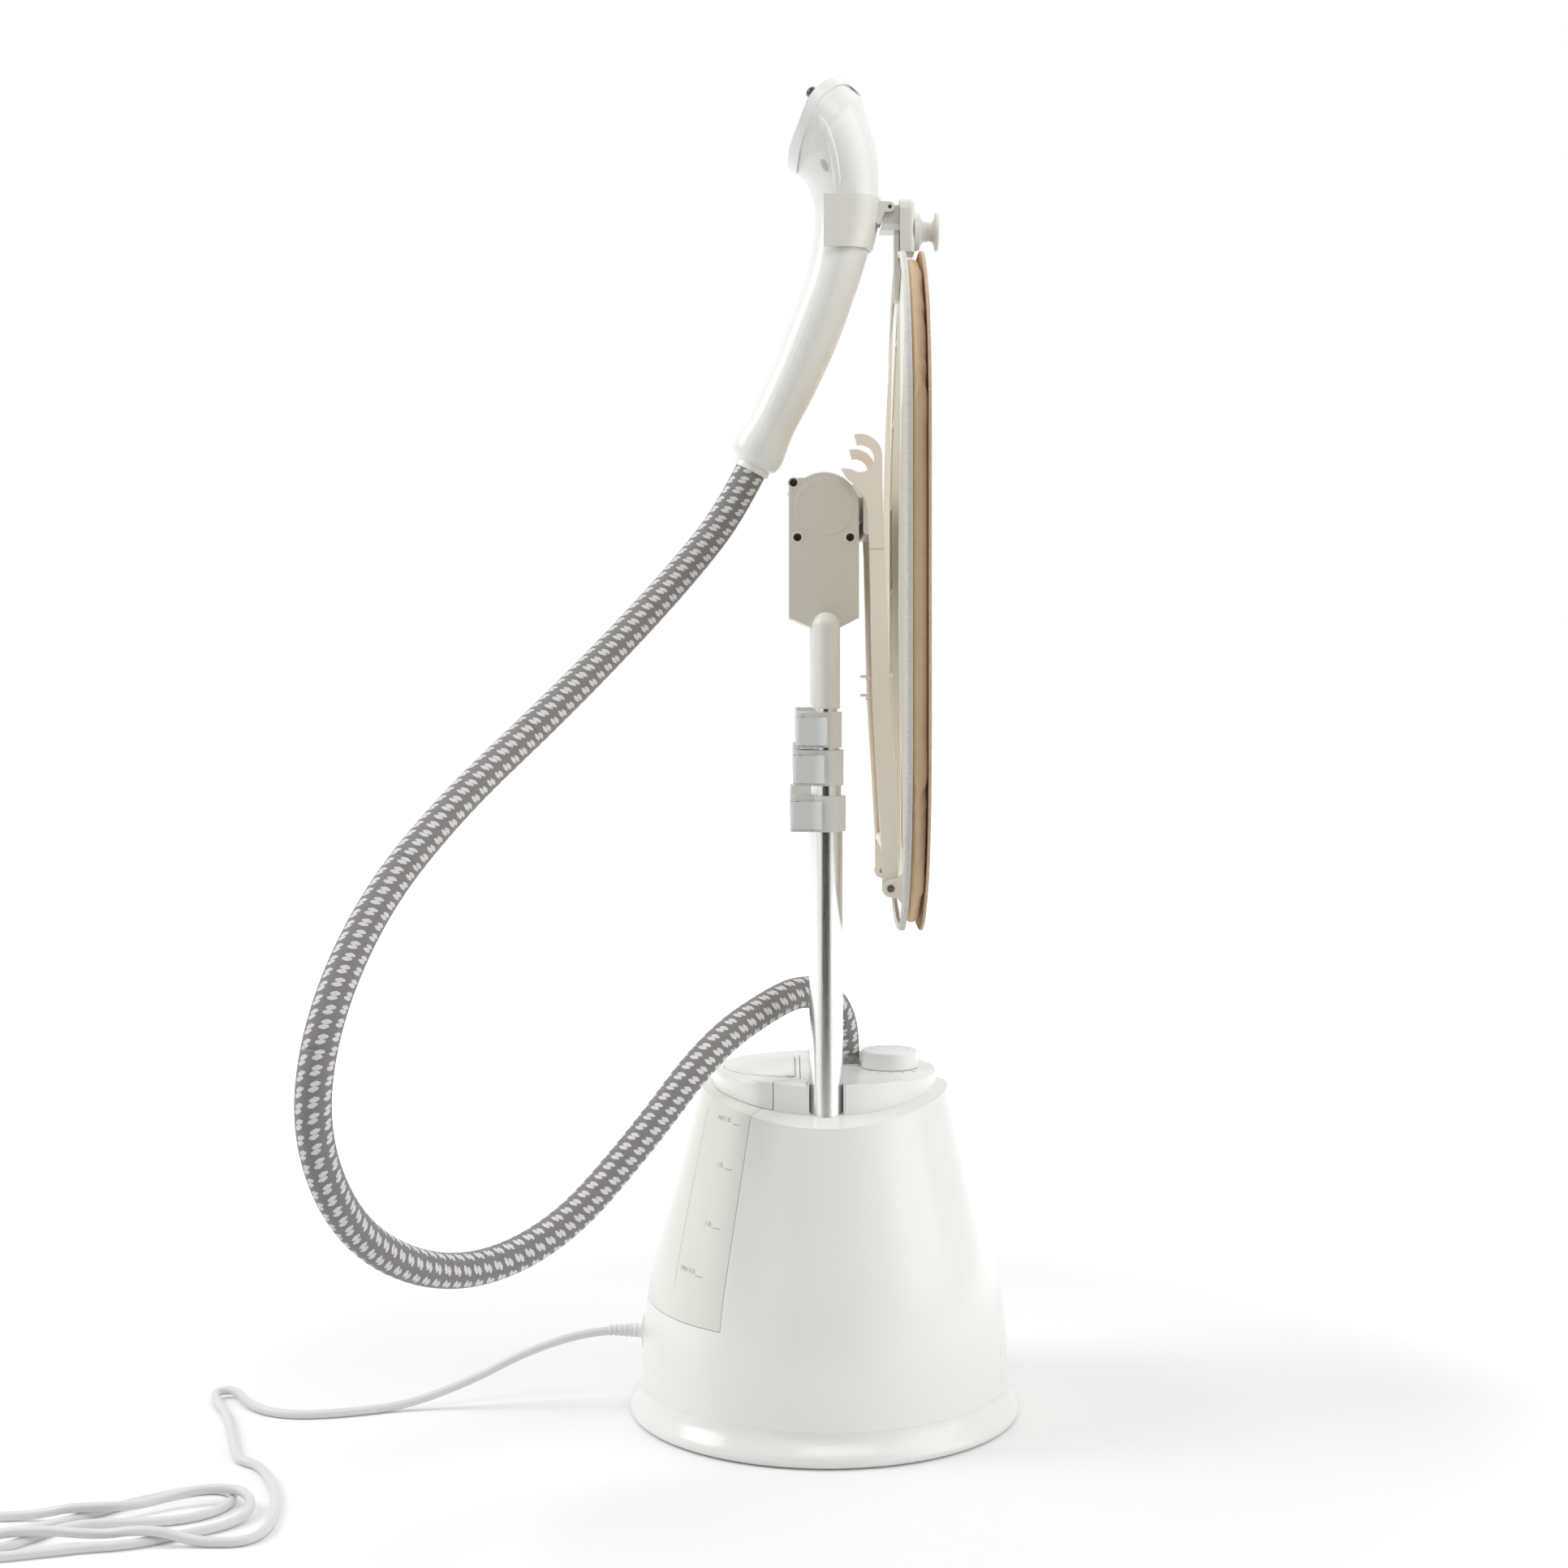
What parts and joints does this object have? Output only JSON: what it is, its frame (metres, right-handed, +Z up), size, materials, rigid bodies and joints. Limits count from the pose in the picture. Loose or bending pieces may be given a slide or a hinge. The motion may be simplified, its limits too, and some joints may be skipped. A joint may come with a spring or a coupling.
{
  "type": "garment steamer",
  "caption": "Upright garment steamer: conical base with lift-out water tank and dial, telescopic poles, tilting head with hanger hooks, ironing board, and a steam handset on a braided hose.",
  "frame": {"origin": "on the floor under the middle of the base", "axes": "+Z up; +X towards the board's side, with the water tank at the back (-X); the two poles stand on the Y axis"},
  "size_m": [0.8816, 0.4919, 1.0195],
  "materials": {
    "white_gloss": "white gloss moulding",
    "white_satin": "satin moulding",
    "rubber_pad": "soft grey feet",
    "tank_clear": "clear frosted moulding",
    "nut_clear": "clear moulding",
    "seal_rubber": "soft seals and hoses",
    "boiler_alloy": "cast alloy",
    "pump_body": "black moulding",
    "pole_alloy": "satin anodised tube",
    "head_beige": "warm grey satin moulding",
    "cream": "cream satin moulding",
    "lever_grey": "light grey moulding",
    "pin_steel": "turned steel",
    "pad_tan": "tan felt and foam",
    "cloth_brown": "brown napped cloth",
    "hem_white": "white elastic hem",
    "steam_face": "drilled steam plate",
    "hose_braid": "grey braid with white flecks",
    "cuff_grey": "soft cuff",
    "lead_grey": "light grey cord sheath"
  },
  "bodies": {
    "base": {"base_shell": "white_gloss", "base_plate": "white_satin", "bumper_ring": "white_satin", "rubber_feet": "rubber_pad", "control_deck": "white_gloss", "valve_socket": "seal_rubber", "boiler": "boiler_alloy", "steam_pipe": "seal_rubber", "pump": "pump_body", "control_board": "pump_body", "outlet_socket": "white_gloss", "hose_nut": "nut_clear", "cord_gland": "white_gloss", "outer_tubes": "pole_alloy", "lower_clamps": "head_beige", "steam_hose": "hose_braid", "mains_cord": "lead_grey", "cord_hank": "lead_grey", "mains_plug": "lead_grey"},
    "tank": {"water_tank": "tank_clear", "tank_valve": "seal_rubber", "tank_cover": "white_gloss", "lid_pin": "pin_steel"},
    "fill_lid": {"fill_lid": "white_gloss"},
    "dial": {"dial": "white_gloss"},
    "dial_button": {"dial_button": "white_gloss"},
    "lower_lever_near": {"lower_lever_near": "lever_grey"},
    "lower_lever_far": {"lower_lever_far": "lever_grey"},
    "middle_lever_near": {"middle_lever_near": "lever_grey"},
    "middle_lever_far": {"middle_lever_far": "lever_grey"},
    "top_lever_near": {"top_lever_near": "lever_grey"},
    "top_lever_far": {"top_lever_far": "lever_grey"},
    "mast_lower": {"lower_tubes": "pole_alloy", "middle_clamps": "head_beige"},
    "mast_middle": {"middle_tubes": "pole_alloy", "top_clamps": "head_beige"},
    "mast_head": {"upper_tubes": "pole_alloy", "pole_sleeves": "cream", "head_housing": "head_beige", "head_covers": "head_beige", "head_screws": "pin_steel", "tilt_axle": "pin_steel"},
    "arms": {"tilt_bracket": "head_beige", "hook_brackets": "head_beige", "arm_bars": "head_beige"},
    "board": {"board_frame": "cream", "board_pins": "pin_steel", "board_pad": "pad_tan", "ironing_cloth": "cloth_brown", "cover_hem": "hem_white", "holder_post": "cream", "hanger_peg": "cream"},
    "cradle": {"cradle": "cream", "cradle_pin": "pin_steel"},
    "handset": {"handset_front_shell": "white_gloss", "handset_rear_shell": "white_gloss", "steam_rim": "white_gloss", "steam_plate": "steam_face", "hose_cuff": "cuff_grey"}
  },
  "joints": [
    {"name": "mast_extend", "type": "slide", "parent": "base", "child": "mast_head", "axis": [0, 0, 1], "range_m": [0, 0.6], "deforming": ["steam_hose"]},
    {"name": "mast_lower_slide", "type": "slide", "parent": "base", "child": "mast_lower", "axis": [0, 0, 1], "range_m": [0, 0.2]},
    {"name": "mast_middle_slide", "type": "slide", "parent": "base", "child": "mast_middle", "axis": [0, 0, 1], "range_m": [0, 0.4]},
    {"name": "lower_near_release", "type": "hinge", "parent": "base", "child": "lower_lever_near", "pos_m": [-0.0235, -0.0807, 0.46], "axis": [0, 0, -1], "range_deg": [0, 100]},
    {"name": "lower_far_release", "type": "hinge", "parent": "base", "child": "lower_lever_far", "pos_m": [-0.0235, 0.0807, 0.46], "axis": [0, 0, 1], "range_deg": [0, 100]},
    {"name": "middle_near_release", "type": "hinge", "parent": "mast_lower", "child": "middle_lever_near", "pos_m": [-0.0214, -0.0807, 0.4939], "axis": [0, 0, -1], "range_deg": [0, 100]},
    {"name": "middle_far_release", "type": "hinge", "parent": "mast_lower", "child": "middle_lever_far", "pos_m": [-0.0214, 0.0807, 0.4939], "axis": [0, 0, 1], "range_deg": [0, 100]},
    {"name": "top_near_release", "type": "hinge", "parent": "mast_middle", "child": "top_lever_near", "pos_m": [-0.0193, -0.0807, 0.5219], "axis": [0, 0, -1], "range_deg": [0, 100]},
    {"name": "top_far_release", "type": "hinge", "parent": "mast_middle", "child": "top_lever_far", "pos_m": [-0.0193, 0.0807, 0.5219], "axis": [0, 0, 1], "range_deg": [0, 100]},
    {"name": "dial_turn", "type": "hinge", "parent": "base", "child": "dial", "pos_m": [0.05, 0, 0.27], "axis": [0, 0, 1], "range_deg": [0, 270]},
    {"name": "button_press", "type": "slide", "parent": "dial", "child": "dial_button", "axis": [0, 0, -1], "range_m": [0, 0.0016], "stiffness_N_per_m": 300, "springref_m": -0.003},
    {"name": "tank_draw", "type": "slide", "parent": "base", "child": "tank", "axis": [-1, 0, 0], "range_m": [0, 0.13]},
    {"name": "fill_lid_open", "type": "hinge", "parent": "tank", "child": "fill_lid", "pos_m": [-0.0247, 0, 0.26], "axis": [0, 1, 0], "range_deg": [0, 35]},
    {"name": "board_tilt", "type": "hinge", "parent": "mast_head", "child": "arms", "pos_m": [-0.0014, 0, 0.6886], "axis": [0, -1, 0], "range_deg": [0, 45], "deforming": ["steam_hose"]},
    {"name": "board_lean", "type": "hinge", "parent": "arms", "child": "board", "pos_m": [0.0477, 0, 0.4058], "axis": [0, 1, 0], "range_deg": [0, 25], "deforming": ["steam_hose"]},
    {"name": "cradle_fold", "type": "hinge", "parent": "board", "child": "cradle", "pos_m": [0.0499, 0, 0.9216], "axis": [0, 1, 0], "range_deg": [0, 60], "deforming": ["steam_hose"]},
    {"name": "handset_pull", "type": "slide", "parent": "cradle", "child": "handset", "axis": [-1, 0, 0], "range_m": [0, 0.06], "deforming": ["steam_hose"]}
  ],
  "couplings": [
    {"joint": "mast_lower_slide", "follows": "mast_extend", "ratio": 0.3333},
    {"joint": "mast_middle_slide", "follows": "mast_extend", "ratio": 0.6666}
  ]
}
